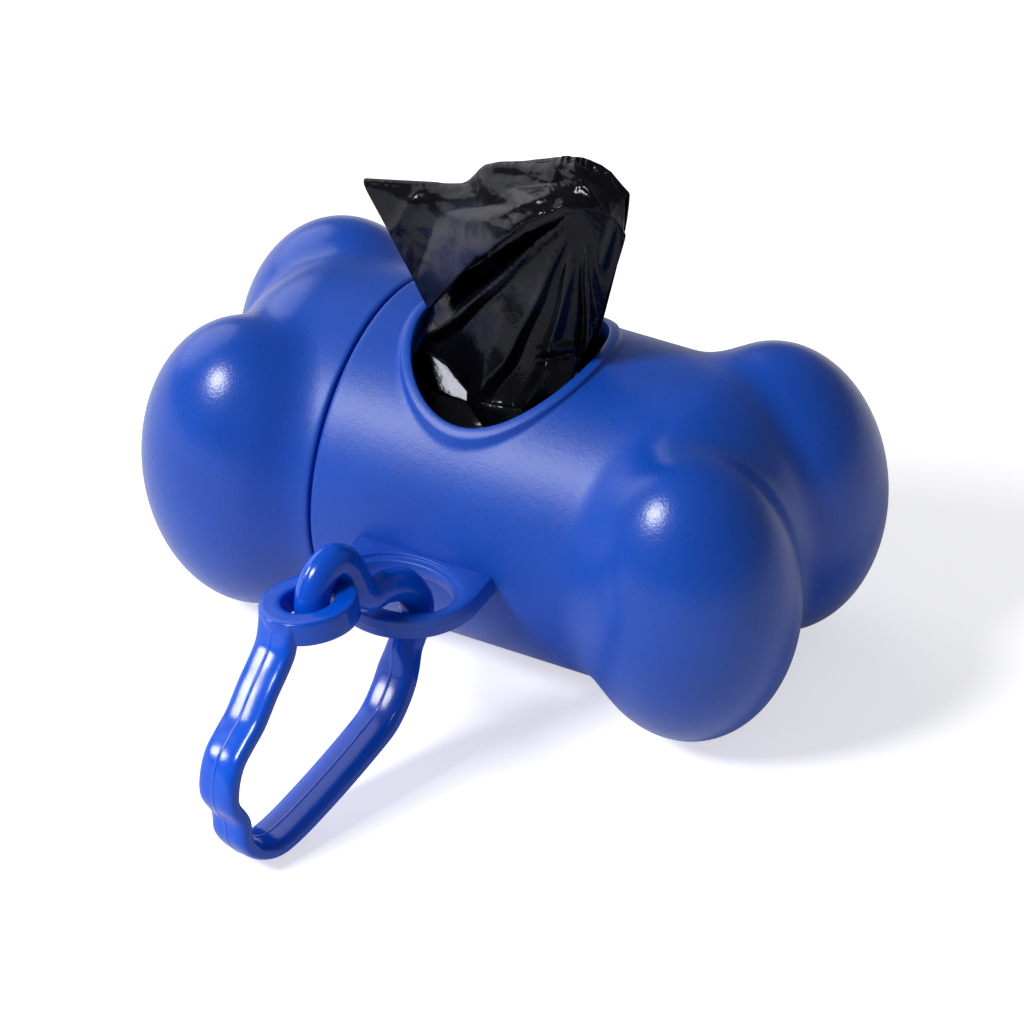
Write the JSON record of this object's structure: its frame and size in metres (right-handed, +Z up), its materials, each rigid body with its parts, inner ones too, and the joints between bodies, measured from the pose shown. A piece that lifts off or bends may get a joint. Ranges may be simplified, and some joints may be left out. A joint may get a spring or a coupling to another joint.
{
  "type": "dog poop bag dispenser",
  "caption": "Bone-shaped bag dispenser: hollow two-lobed body with window and D tab, push-on lobed end cap, bag roll, pulled-out bag and a one-piece hook clip.",
  "frame": {"origin": "middle of the tube's axis, where the bag roll sits", "axes": "+X along the tube to the closed end, the cap at -X, the tab on -Y, +Z up through the window"},
  "size_m": [0.0842, 0.0823, 0.0671],
  "materials": {
    "shell_blue": "satin, finely textured",
    "clip_blue": "gloss",
    "film_black": "thin glossy film",
    "core_board": "plain paper board"
  },
  "bodies": {
    "dispenser": {"body_shell": "shell_blue"},
    "cap": {"end_cap": "shell_blue"},
    "roll": {"roll_core": "core_board", "bag_roll": "film_black"},
    "lead": {"bag_lead": "film_black"},
    "clip": {"clip": "clip_blue"}
  },
  "joints": [
    {"name": "cap_pull", "type": "slide", "parent": "dispenser", "child": "cap", "axis": [-1, 0, 0], "range_m": [0, 0.065]},
    {"name": "roll_spin", "type": "hinge", "parent": "dispenser", "child": "roll", "pos_m": [0, 0, -0.0005], "axis": [1, 0, 0], "range_deg": [0, 110]},
    {"name": "bag_pull", "type": "slide", "parent": "dispenser", "child": "lead", "axis": [0, 0, 1], "range_m": [0, 0.03]},
    {"name": "clip_swing", "type": "hinge", "parent": "dispenser", "child": "clip", "pos_m": [0.0002, -0.0311, 0], "axis": [-0.9254, 0.3368, -0.1736], "range_deg": [-45, 85]}
  ],
  "couplings": [
    {"joint": "bag_pull", "follows": "roll_spin", "m_per_rad": 0.0155}
  ]
}
